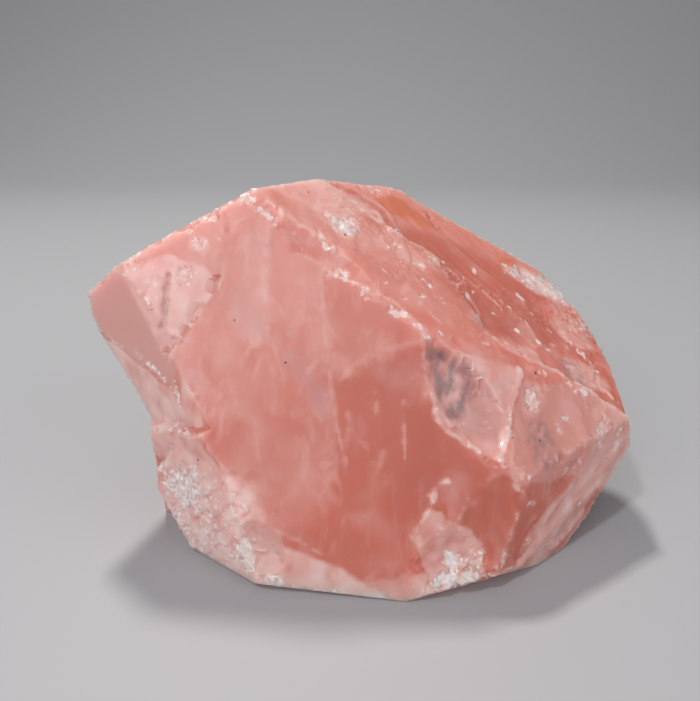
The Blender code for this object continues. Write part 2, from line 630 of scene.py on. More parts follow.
PATCHES = (
    # Crushed spots along the ridge between the front face and the upper slope, whose white partly paints its
    # glints.
    Patch((-19.4, -9.5, 70.8), -75, 40, 5, 2.5, -30, 0.5),
    Patch((-14.9, -11, 67.7), -75, 40, 3, 1.6, -40, 0.8),
    Patch((-9.5, -12, 64.5), -75, 40, 7, 3, -38, 0.22),
    Patch((-4.5, -12, 62.4), -75, 40, 3, 1.6, -50, 0.8),
    Patch((-3, -14, 58.6), -75, 40, 5, 4.5, 20, 0.3),
    Patch((-1.1, -15, 57.4), -75, 40, 2.8, 1.8, 50, 0.95),
    Patch((3, -16.8, 54.6), -75, 40, 7, 2.4, -38, 0.3),
    Patch((8.9, -17.8, 51.2), -75, 40, 4, 2.2, -30, 0.85),
    Patch((16, -12, 51), *SLOPE, 14, 8, -38, 0.12),
    # Round bruise and small knocks above.
    Patch((-1.2, -4.9, 65), *SLOPE, 7.5, 6.4, 0, 0.85),
    Patch((-1.2, -4.9, 65), *SLOPE, 11, 9, 0, 0.6, MILK),
    Patch((-25.7, -10.1, 67.4), *FRONT, 2.4, 1.4, 20, 0.9),
    Patch((-28.2, -11.5, 62.8), *FRONT, 3.4, 3.4, 0, 0.4),
    Patch((-28.2, -11.5, 62.8), *FRONT, 5, 5, 0, 0.5, MILK),
    Patch((-29.9, -10.6, 65), *FRONT, 2.2, 1.2, 30, 0.8),
    Patch((-24, -11, 65), *FRONT, 8, 4, 30, 0.15),
    # Pale kite on the upper left.
    Patch((-42.6, -11, 60), -110, 20, 6, 3, -50, 0.5),
    Patch((-31.2, -12.9, 57.2), -96, 15, 5, 4, 20, 0.5),
    Patch((-36, -13, 55), -96, 15, 9, 6, -60, 0.2),
    # Crest between the left end and the flank, with crushed white that partly paints glints.
    Patch((-33.3, -17.8, 34.9), -120, -6, 5, 1.6, -80, 0.95),
    Patch((-54, -4, 48.5), -128, -6, 5, 4, 0, 0.35),
    # Notch between the left end and the foot: painted light that pales its shaded hollow, and crushed spots.
    Patch((-30.6, -19.4, 30.5), -124, -1, 8, 20, 0, 0.8, MILK, 0.93),
    Patch((-33, -17.5, 27.5), -124, -1, 10, 3, 0, 0.35),
    # Flank and foot, with crushed white that partly paints the foot's glints.
    Patch((-39.5, -14, 17), -140, 10, 5, 4, 0, 0.9),
    Patch((-34, -17.8, 14), *FOOT, 13, 11, -55, 1.1),
    Patch((-30.6, -20.4, 18.6), *FOOT, 5, 1.6, 80, 0.8),
    Patch((-28.5, -22.5, 14.9), *FOOT, 6, 3, -50, 0.4),
    Patch((-34, -18.5, 5.5), *FOOT, 12, 5, -50, 0.5),
    Patch((-25.6, -23.8, 9), *FOOT, 9, 4, -62, 0.25),
    Patch((-19.8, -29, 5.6), *FOOT, 7, 5, -60, 0.8),
    Patch((-14.5, -31.4, 2.8), -100, -5, 6, 2.6, 0, 0.55),
    Patch((-28, -22, 9), *FOOT, 34, 28, 0, 1, MILK, 0.5),
    Patch((-30, -21, 10), *FOOT, 28, 20, 0, 0.34),
    # Bottom of the front face.
    Patch((12, -33.6, 3), *FRONT, 20, 5, 8, 0.5, MILK, 0.6),
    Patch((2, -34, 2), *FRONT, 50, 3, 4, 0.15),
    Patch((-15, -26.5, 20), *FRONT, 24, 28, 0, 0.22, MILK, 0.9),
    # Fan-shaped chip, with crushed white that partly paints its glints.
    Patch((19.2, -31.6, 7), -95, 22, 5.5, 4.4, -40, 1),
    Patch((20.3, -33.2, 4.1), -90, 36, 12, 4, 8, 0.75),
    Patch((23.5, -31.4, 7.6), -83, 16, 5, 3.4, 60, 0.4),
    Patch((29, -31, 7), -75, 8, 4, 2.5, 60, 0.5),
    # Right-hand window and lens, with crushed spots that partly paint glints.
    Patch((28, -22.5, 31), -64, 40, 10, 7, 60, 0.14),
    Patch((35.3, -17.1, 33.7), *LENS, 5, 4, 60, 0.85),
    Patch((35.3, -17.1, 33.7), *LENS, 8, 7, 60, 0.5, MILK),
    Patch((37, -22, 26), *LENS, 12, 9, 60, 0.65, SMOKE, 0.5),
    Patch((51.6, -13.2, 24.6), *LENS, 7, 4.5, 60, 0.5),
    Patch((52, -12, 24), *LENS, 14, 10, 60, 0.6, MILK, 0.4),
    Patch((56.5, -9.6, 22), *LOWER_RIGHT, 8, 5, 44, 0.4),
    # Upper slope and its recesses, whose deep coral is partly their colour and partly painted shade.
    Patch((17, 0.6, 56.8), *SLOPE, 6, 3, -40, 0.3),
    Patch((9, -1, 60), *SLOPE, 16, 8, -42, 0.35, MILK, 0.8),
    Patch((-6, 2, 70), *SLOPE, 30, 16, -25, 0.6, MILK, 0.6),
    Patch((3, -4, 63.5), *SLOPE, 46, 16, -42, 0.2, MILK, 0.6),
    Patch((51, -2, 32), *SLOPE, 16, 9, -50, 0.6, MILK, 0.6),
    Patch((45, -18, 12), *LOWER_RIGHT, 46, 14, 38, 0.75, MILK),
    Patch((55, -10, 17), *LOWER_RIGHT, 16, 12, 38, 0.7, MILK),
    Patch((6, 17, 69), *SLOPE, 10, 4, -20, 0.3),
    Patch((13.2, 16, 64.8), *SLOPE, 20, 11, -40, 0.8, RUST),
    Patch((38, 19.5, 51.2), *SLOPE, 12, 7, -40, 0.75, RUST),
    Patch((26, 14, 57), *SLOPE, 50, 26, -42, 0.22, RUST, 0.7),
    Patch((33, 1, 45.5), *SLOPE, 40, 18, -42, 1, DEEP, 0.7),
    Patch((45.5, 20, 46.8), *SLOPE, 24, 8, -42, 0.7),
    Patch((45.5, 20, 46.8), *SLOPE, 28, 11, -42, 0.85, MILK),
    Patch((52.5, 12.6, 39), *SLOPE, 9, 6, -50, 0.4),
    Patch((50, 8, 38), *SLOPE, 14, 8, -50, 0.5, MILK, 0.6),
    Patch((47.5, -3.5, 34), *SLOPE, 9, 7, -52, 0.7, SMOKE, 0.5),
    Patch((47.5, -3.5, 34), *SLOPE, 9, 7, -52, 0.2),
    Patch((34, 4, 46), *SLOPE, 22, 14, -42, 0.07),
    Patch((26, 9, 53.5), *SLOPE, 52, 20, -42, 0.85, DEEP, 0.8),
    # Back and ends.
    Patch((-30, 27, 50), 132, 22, 10, 5, -30, 0.4),
    Patch((4, 36, 52), 92, 10, 12, 3, 10, 0.3),
    Patch((-4, 40, 24), 92, -5, 30, 18, 20, 0.6, DEEP, 0.6),
    Patch((24, 38, 34), 92, -5, 20, 12, -30, 0.6, MILK, 0.6),
    Patch((-38, 18, 36), 132, 15, 26, 18, -40, 0.5, MILK, 0.6),
    Patch((30, 35, 14), 92, -20, 14, 6, 10, 0.5),
    Patch((-20, 34, 10), 110, -30, 16, 6, 0, 0.45),
    Patch((52, 18, 26), 30, -10, 12, 8, 40, 0.3),
    Patch((40, 28, 40), 60, -13, 24, 10, 30, 0.5, RUST, 0.5),
)

PANES = (
    # Upper left: the pale kite, and the dusky facet that ends the stone, whose duskiness is partly painted
    # shade.
    Pane(((-42.9, -11.5, 58), (-34.5, -11.5, 60.9), (-27.5, -12.8, 58.7), (-24.6, -13.9, 56),
          (-33.2, -16.9, 44.6)), *FRONT, 0.8, MILK, 0.35),
    Pane(((-43.5, -11.4, 58.4), (-54.5, -3, 50), (-53.5, -4.5, 45), (-34, -17.6, 35.2),
          (-32.7, -17.1, 44.1)), *LEFT_END, 1, ROSE, 0.35),
    # Pale flank below them, paler partly as painted light on that shaded side.
    Pane(((-57, -2, 47), (-46, -8.5, 41.5), (-37.2, -15.3, 39.3), (-33.1, -18, 35.2), (-31.8, -19.4, 28),
          (-41, -9.9, 24), (-57, -2, 36)), *FLANK, 1, MILK, 0.35),
    Pane(((-40.6, -9.6, 25), (-29.1, -22.1, 26.9), (-22.3, -26.3, 18.6), (-20.1, -27.7, 14.9),
          (-31.1, -20.2, 15.8), (-41, -9.6, 15.4)), *FLANK, 0.85, MILK, 0.8),
    # Bottom of the front face: a pale band, dusky at its left end.
    Pane(((-20.1, -28.1, 13.8), (-11.4, -29.8, 10.8), (-1.3, -32.5, 5.4), (6.5, -34, 2.8), (6, -35, -1),
          (-22, -30, -1)), *FRONT, 0.85, MILK, 0.6),
    Pane(((-20.1, -28.1, 13.8), (-13.2, -29.4, 11.7), (-11.8, -31.6, 5.2), (-16.5, -32.1, 2.5),
          (-19.6, -28.8, 8.4)), *FRONT, 0.9, ROSE, 0.4),
    # Deep coral on the right of the front face, in three layers, partly its colour and partly painted shade
    # where the stone is thickest.
    Pane(((-1.7, -21.4, 39.3), (12.8, -20.3, 46.4), (22.2, -26.8, 28.5), (14.8, -30.2, 16.8),
          (11, -31.6, 11.5), (3.8, -30.8, 11.9), (-0.3, -27.2, 21.9)), *FRONT, 0.4, DEEP, 1, 0.8),
    Pane(((5, -22, 41), (12.8, -20.3, 46.4), (22.2, -26.8, 28.5), (14.8, -30.2, 16.8), (7, -30.4, 14)),
         *FRONT, 0.65, DEEP, 0.5, 0.8),
    Pane(((9.8, -21, 44), (13.2, -20.3, 46.4), (15.6, -25.1, 32.7), (27.5, -27.7, 25.6), (16, -29, 20.8),
          (10.2, -29, 20)), *FRONT, 0.95, DEEP, 0.3, 0.6),
    Pane(((18.1, -28.7, 22.3), (22.2, -26.8, 28.5), (27.5, -27.7, 25.6), (35.6, -26, 15),
          (28.9, -31.3, 4.6), (24.5, -30.9, 10.2), (15.8, -30, 17.6)), -72, 10, 0.6, DEEP, 0.6, 0.2),
    # Window and lens on the right.
    Pane(((13.2, -20.2, 46.8), (19.5, -19.1, 43.6), (25, -19.5, 39.5), (24.7, -20.6, 35.9),
          (19.4, -23.9, 32), (16.2, -24.9, 32.6), (14.8, -21.8, 40.2)), -67, 26, 1, SMOKE, 1, 0.2),
    Pane(((19.1, -19.1, 44), (33.2, -14.4, 38.9), (30.1, -21.9, 32), (27.5, -27.7, 25.6), (18.4, -26, 30.4),
          (16.2, -25, 33.3)), -64, 34, 0.6, MILK, 0.4, 0.2),
    Pane(((24, -20.5, 38), (30, -18, 37), (27.5, -25, 29), (20, -25.5, 31)), -64, 34, 0.3, SMOKE, 2, 0.2),
    Pane(((33.3, -16.3, 36.3), (45.8, -10, 34.1), (58.2, -5, 25.9), (55.6, -10.8, 20.1),
          (47.6, -16.9, 17.3), (37.1, -24.8, 19.6), (30.7, -28.5, 20.5), (28.3, -27.5, 25.5)), *LENS, 0.6,
         ROSE, 0.4, 0.5),
    # Fan-shaped chip and the small one beside it.
    Pane(((14.8, -30.2, 16.8), (20.9, -31, 13.7), (24.5, -30.9, 10.2), (24.9, -32.6, 5.4),
          (21.9, -33.2, 2.6), (15.3, -33.4, 3.8), (11.4, -31.6, 11.5)), -85, 15, 0.6, MILK, 0.3),
    Pane(((11.1, -33.5, 5.7), (14.5, -33.7, 3.6), (15.2, -34.9, 2.2), (13, -34.8, 2.1)), -85, 25, 0.7, MILK,
         0.3),
    # Grey and lilac sheets inside the front face.
    Pane(((-23.5, -14.1, 55.7), (-22.1, -16.2, 49.6), (-20, -17, 47.9), (-15.6, -18.2, 45.3),
          (-15.2, -16.5, 50.8)), *FRONT, 0.3, LILAC, 0.8),
    Pane(((-13.4, -18.6, 44.7), (-9.8, -19.1, 44.1), (-2.9, -22, 36), (-4.1, -23.5, 32.1), (-6.6, -23, 33)),
         *FRONT, 0.42, LILAC, 0.8),
)

THREADS = (
    # Front face: fine cracks seen edge on.
    Thread(((-5.5, -14.1, 59.7), (-4.8, -18.4, 47.6), (-2.7, -23.6, 32.1), (-0.6, -26.8, 23)), 0.6, 0.4),
    Thread(((5, -22.6, 37.3), (4.9, -24.3, 32.3)), 0.6, 0.4),
    Thread(((9.8, -22.5, 38.9), (10.2, -27, 25.2)), 0.5, 0.4),
    Thread(((12.8, -20.3, 46.4), (5.7, -20.2, 44.8), (0.4, -20.8, 41.8), (-1.9, -21.4, 39.2)), 0.7, 0.25),
    Thread(((-15.7, -12.2, 63.6), (-16.3, -14.6, 56.2), (-14.9, -18.5, 44.6)), 0.6, 0.2),
    # Ridge between the front face and the upper slope, with crushed spots whose white partly paints its
    # glints.
    Thread(((-19.8, -9.5, 71), (-14.8, -11, 67.7), (-13.7, -11.6, 66)), 1.2, 0.5, BRUISE),
    Thread(((-1.1, -15.1, 57.5), (2.7, -16.5, 55.5), (8.7, -17.6, 51.5), (13.2, -19.6, 48.6),
            (14.3, -20.1, 46.8)), 1.2, 0.4, BRUISE),
    Thread(((-7.1, -9.5, 66), (-4.5, -12, 62.5)), 0.8, 0.9, BRUISE, -0.25),
    # Outline of the kite and its crack.
    Thread(((-42.9, -11.5, 58), (-33.2, -16.9, 44.6), (-24.6, -13.9, 56)), 0.7, 0.6, MILK, 0.1),
    Thread(((-42.9, -11.5, 58), (-36.5, -14.5, 49.5)), 1, 0.5, BRUISE),
    Thread(((-34.2, -12.6, 57.1), (-34.8, -13.5, 53.6), (-35.5, -15, 47.7)), 0.9, 0.5, SMOKE, -0.25),
    # Crest of the left end, and the chips below it, whose crushed white partly paints glints.
    Thread(((-55, -3.5, 47), (-47.3, -8, 41.5), (-42.2, -12, 41.1), (-38.7, -14.3, 39.2),
            (-33.8, -17.6, 35.7), (-32.8, -18.1, 32.3)), 1, 0.7, BRUISE, 0.2),
    Thread(((-33.2, -17.9, 32.6), (-33, -17.1, 28.5), (-29.1, -22.1, 26.9), (-27.7, -22.7, 24.8)), 0.7, 0.6),
    Thread(((-26, -24, 24.7), (-24.1, -24.8, 22.7)), 0.7, 0.6, BRUISE),
    Thread(((-22.3, -26.3, 18.6), (-19.8, -27.8, 14.9)), 0.7, 0.7, BRUISE),
    Thread(((-22.4, -27, 15.7), (-20.3, -28.6, 9.5), (-18.8, -30.4, 5.2), (-15.8, -32.1, 2.6)), 1.3, 0.7,
           BRUISE),
    Thread(((-28, -23.7, 5.6), (-26, -25.6, 2.9), (-23, -28, 2.5)), 0.9, 0.6, BRUISE),
    Thread(((-20.1, -28.1, 13.8), (-11.4, -29.8, 10.8), (-4.5, -31.5, 7.7)), 0.6, 0.4),
    # Outlines of the window and the lens.
    Thread(((13.2, -20.2, 46.8), (14.8, -21.8, 40.2), (15.6, -24.2, 35.2)), 0.5, 0.5),
    Thread(((15.6, -24.2, 35.2), (16.2, -25.1, 32.7), (18.4, -26, 30.4), (22.2, -26.8, 28.5),
            (27.5, -27.7, 25.6)), 0.7, 0.9, MILK, 0.15),
    Thread(((33.2, -14.4, 38.9), (32.4, -16.8, 36.4), (30.1, -21.9, 32), (27.9, -27.3, 25.8)), 1.3, 0.9,
           MILK, 0.25),
    Thread(((32.4, -16.8, 36.4), (30.1, -21.9, 32), (27.9, -27.3, 25.8), (31.1, -28.5, 20.5)), 1.2, 0.35,
           BRUISE),
    Thread(((27.5, -27.7, 25.6), (31.1, -28.5, 20.5), (35.6, -26, 15)), 0.8, 0.8, MILK, 0.15),
    # Outline of the fan-shaped chip.
    Thread(((11.4, -31.6, 11.5), (14.8, -30.2, 16.8), (15.9, -29, 20.8), (18.1, -28.7, 22.3)), 0.8, 0.95,
           MILK, 0.25),
    Thread(((14.8, -30.2, 16.8), (20.9, -31, 13.7), (24.5, -30.9, 10.2), (24.9, -32.6, 5.4)), 0.6, 0.6),
    Thread(((11.4, -31.6, 11.5), (16.5, -32.4, 7), (19.2, -31.6, 7)), 0.8, 0.7),
    Thread(((15.3, -33.4, 3.8), (24.9, -32.6, 4), (33, -29.5, 3.5)), 1, 0.7),
    # Long flutes of the lower right.
    Thread(((34.9, -26.7, 7.6), (41.8, -21.4, 13), (50.5, -14.8, 16.6), (55.9, -10.6, 18.1)), 3, 0.6, MILK,
           0.2),
    Thread(((32, -29, 2.7), (38.4, -24.1, 7.2), (45.7, -18.5, 11.1), (53.8, -12.3, 13.2)), 2, 0.8, MILK, 0.2),
    Thread(((37.2, -24.6, 1.8), (45.3, -18.3, 4.2), (48.3, -15.7, 7.4)), 1.4, 0.8, MILK, 0.15),
    # Lip between the upper slope and the recess behind it.
    Thread(((-2, 2.2, 68.9), (3, 4.3, 66.9), (8.1, 3.8, 63.6), (11.1, -3.2, 58.3), (14.5, -2.7, 56.5)), 2,
           0.5),
    Thread(((3, 4.3, 66.9), (8.1, 3.8, 63.6), (11.1, -3.2, 58.3), (14.5, -2.7, 56.5)), 1.3, 0.5, BRUISE),
    Thread(((3, 4.3, 66.9), (5.7, 8.9, 65.3), (8.5, 3.6, 63.2), (15.3, 6.3, 58.4), (18.8, 5.5, 55.9)), 1.2,
           0.8, MILK, 0.18),
    # Painted shadow: a deep-coral groove along the upper side of the lip.
    Thread(((-2.1, 10.4, 70.7), (6.7, 10.4, 65.3), (9.5, 5.6, 63.2)), 2, 0.8, DEEP, -0.15),
    Thread(((24.5, 0.5, 50.1), (26.6, -3.1, 46.7), (27.1, -10.4, 45.1), (29.4, -11.8, 43),
            (32.4, -11.7, 41.3)), 0.8, 0.6, MILK, 0.05),
    Thread(((29.4, -11.8, 43), (32.4, -11.7, 41.3), (42.8, -9.6, 36.1)), 1.1, 0.5, MILK, 0.1),
    # Painted glints in the recess, as crushed white spots.
    Thread(((34, 8.8, 48.3), (37.6, 9.8, 46.6), (39.3, 9.9, 45.6)), 0.6, 0.9, BRUISE, 0.2),
    Thread(((34, 4.6, 46.4), (34.9, 4, 45.4)), 0.6, 0.9, BRUISE, 0.2),
    Thread(((30, -0.1, 46.2), (32, -0.9, 45)), 0.6, 0.9, BRUISE, 0.2),
    Thread(((36.8, 3.1, 44), (38.6, 1.8, 42)), 0.9, 1, BRUISE, 0.3),
    Thread(((35, -1.6, 42.2), (36.4, -2.3, 41.2)), 0.8, 0.9, BRUISE, 0.2),
    Thread(((39.2, -0.6, 40.3), (40.4, -1.2, 39.3)), 0.7, 0.9, BRUISE, 0.2),
    Thread(((43.8, -10.7, 34.8), (45.6, -11.2, 32.8), (48.5, -10.1, 31.8)), 1.2, 0.6, BRUISE, 0.3),
    Thread(((48.1, 5.3, 38), (52.1, 3.8, 34.7), (54.7, 0.9, 31.4)), 0.8, 0.8, BRUISE, 0.3),
    Thread(((49, -4.2, 32.1), (55.1, -2.8, 29.1), (56.7, -3.7, 27.6)), 0.9, 0.8, MILK, 0.3),
)

WHOLE_FOOT = Patch((-28, -22, 9), *FOOT, 30, 24, 0)
RECESS = Patch((24, 12, 55), *SLOPE, 80, 30, -42)
FAN = Patch((19, -32, 8), -86, 12, 16, 12, 0)
LOWER_BACK = Patch((30, 38, 20), 92, -10, 36, 26, 0)
WHOLE_BACK = Patch((0, 40, 34), 95, 12, 190, 120, facing=0.25)
DOWN_SLOPE = (0.719, -0.338, -0.605)

RELIEFS = (
    Relief(Patch((-33.5, -13.5, 54), -96, 15, 20, 15, -40), Grain.LUMPS, 2.6, 0.22),
    Relief(Patch((22.5, -22, 35), -74, 29, 32, 19, -58), Grain.LUMPS, 3.4, 0.2),
    Relief(WHOLE_FOOT, Grain.LUMPS, 3.2, 0.3),
    Relief(WHOLE_FOOT, Grain.STEPS, 3.6, 0.45, (0.6, -0.5, -0.8)),
    Relief(Patch((-38, -13, 30), *FLANK, 30, 30, 0), Grain.STRIAE, 1.8, 0.2, (0.25, -0.2, 1)),
    Relief(RECESS, Grain.STRIAE, 4.2, 0.3, DOWN_SLOPE),
    Relief(RECESS, Grain.STEPS, 9, 0.6, (0.2, 0.7, -0.3)),
    Relief(Patch((38, 0, 43), *SLOPE, 54, 26, -42), Grain.STRIAE, 3.6, 0.4, DOWN_SLOPE),
    Relief(Patch((-2, -4, 65), *SLOPE, 44, 20, -42), Grain.LUMPS, 3.4, 0.22),
    Relief(Patch((8, -1, 60), *SLOPE, 40, 18, -42), Grain.STEPS, 7, 0.4, (0.5, 0.6, -0.2)),
    Relief(Patch((46, -17, 11), *LOWER_RIGHT, 46, 24, 38), Grain.STRIAE, 3.6, 0.4, (0.665, 0.503, 0.552)),
    Relief(Patch((24, -31, 13), -78, 8, 30, 22, 40), Grain.WAVES, 3.4, 0.1, (36, -27, 20)),
    Relief(FAN, Grain.LUMPS, 2.2, 0.25),
    Relief(FAN, Grain.WAVES, 2.6, 0.14, (11.4, -31.6, 11.5)),
    Relief(Patch((43, -17, 25), *LENS, 32, 24, 0), Grain.LUMPS, 6, 0.25),
    Relief(Patch((-4, 40, 30), 92, -2, 46, 30, 25), Grain.WAVES, 4.2, 0.14, (-28, 36, 50)),
    Relief(Patch((-36, 20, 46), 132, 22, 36, 22, -35), Grain.WAVES, 3.8, 0.12, (-50, 8, 50)),
    Relief(LOWER_BACK, Grain.LUMPS, 4.0, 0.3),
    Relief(LOWER_BACK, Grain.STEPS, 7, 0.5, (0.8, 0.1, -0.6)),
    Relief(Patch((52, 20, 30), 40, -12, 28, 22, 55), Grain.STRIAE, 2.6, 0.4, (0.3, -0.6, 0.7)),
    Relief(Patch((-20, 32, 14), 120, -30, 40, 18, 0), Grain.LUMPS, 3.4, 0.35),
    # The whole back and the left and right ends.
    Relief(WHOLE_BACK, Grain.LUMPS, 5.5, 0.4, patchy=True),
    Relief(WHOLE_BACK, Grain.LUMPS, 2.4, 0.22, patchy=True),
    Relief(WHOLE_BACK, Grain.STEPS, 6, 0.6, (0.5, 0.3, -0.8), patchy=True),
    Relief(WHOLE_BACK, Grain.STEPS, 4, 0.35, (-0.6, 0.3, -0.5), patchy=True),
    Relief(WHOLE_BACK, Grain.STRIAE, 3, 0.35, (0.6, 0.1, -0.8), patchy=True),
    Relief(Patch((60, 10, 20), 10, 0, 60, 60, facing=0.4), Grain.STEPS, 5, 0.6, (0.1, 0.6, -0.8),
           patchy=True),
)

VEILS = (
    Veil((-15.3, -18, 45), (-15.3, -10.2, 70), 9, 0.35),
    Veil((-2.6, -21.3, 39), (-5.2, -13.6, 61), 8, 0.3),
    Veil((-2.6, -28.5, 17), (-2.6, -21.3, 39.6), 10, 0.3),
    Veil((-2.4, -22, 38), (8, -19.6, 47), 7, 0.25),
    Veil((-23, -21, 34), (-32, -17, 45), 9, 0.25),
)


@dataclass(frozen=True)
class Strewn:
    """Small areas of one kind, strewn at random over part of the stone.

    Attributes:
        tint: What they do.
        count: How many there are.
        length: Greatest length of one.
        strength: Greatest strength of one.
        bearing: Bearing that the part looks to.
        rise: Tilt of that part.
        spread: Least cosine between the surface and that direction.
        lines: Share of them that are lines.
    """

    tint: Tint
    count: int
    length: float
    strength: float
    bearing: float = 92
    rise: float = 5
    spread: float = 0.2
    lines: float = 0.4

    def areas(self, points: np.ndarray, normals: np.ndarray, draw: random.Random) -> list[Patch | Thread]:
        """Places them.

        Args:
            points: Points on the stone.
            normals: Unit normals there.
            draw: Source of random numbers.

        Returns:
            Areas that differ in place, direction, size and strength.
        """
        reached = normals @ np.array(outward(self.bearing, self.rise)) > self.spread
        spots = np.flatnonzero(reached & (points[:, 2] > 2))
        areas: list[Patch | Thread] = []
        for _ in range(self.count):
            spot = spots[draw.randrange(len(spots))]
            at, out = Vector(points[spot]), Vector(normals[spot])
            length = self.length * draw.uniform(0.3, 1)
            strength = self.strength * draw.uniform(0.6, 1)
            if draw.random() < self.lines:
                along = out.cross(Vector([draw.gauss(0, 1) for _ in range(3)])).normalized()
                stops = tuple(tuple(at + along * length * way) for way in (-0.5, 0, 0.5))
                areas.append(Thread(stops, draw.uniform(0.4, 0.9), strength, self.tint))
                continue
            bearing = math.degrees(math.atan2(out.y, out.x))
            rise = math.degrees(math.asin(max(-1.0, min(1.0, out.z))))
            width = length * draw.uniform(0.3, 0.8)
            spin = draw.uniform(0, 180)
            areas.append(Patch(tuple(at), bearing, rise, length, width, spin, strength, self.tint, 0.6))
        return areas


STREWN = (
    # Upper slope, lower right and foot; the small crushed spots there partly paint glints.
    Strewn(BRUISE, 46, 2.6, 1, *SLOPE, 0.9, 0.8),
    Strewn(BRUISE, 12, 2.4, 1, *LOWER_RIGHT, 0.9, 0.8),
    Strewn(MILK, 14, 8, 0.5, *SLOPE, 0.9, 0.5),
    Strewn(MILK, 16, 9, 0.3, *FRONT, 0.95, 0.6),
    # Back and ends.
    Strewn(BRUISE, 60, 8, 0.8),
    Strewn(MILK, 30, 26, 0.6),
    Strewn(DEEP, 12, 30, 0.8),
    Strewn(ROSE, 10, 22, 0.7),
    Strewn(SMOKE, 4, 10, 0.4),
    Strewn(RUST, 5, 9, 0.5),
)


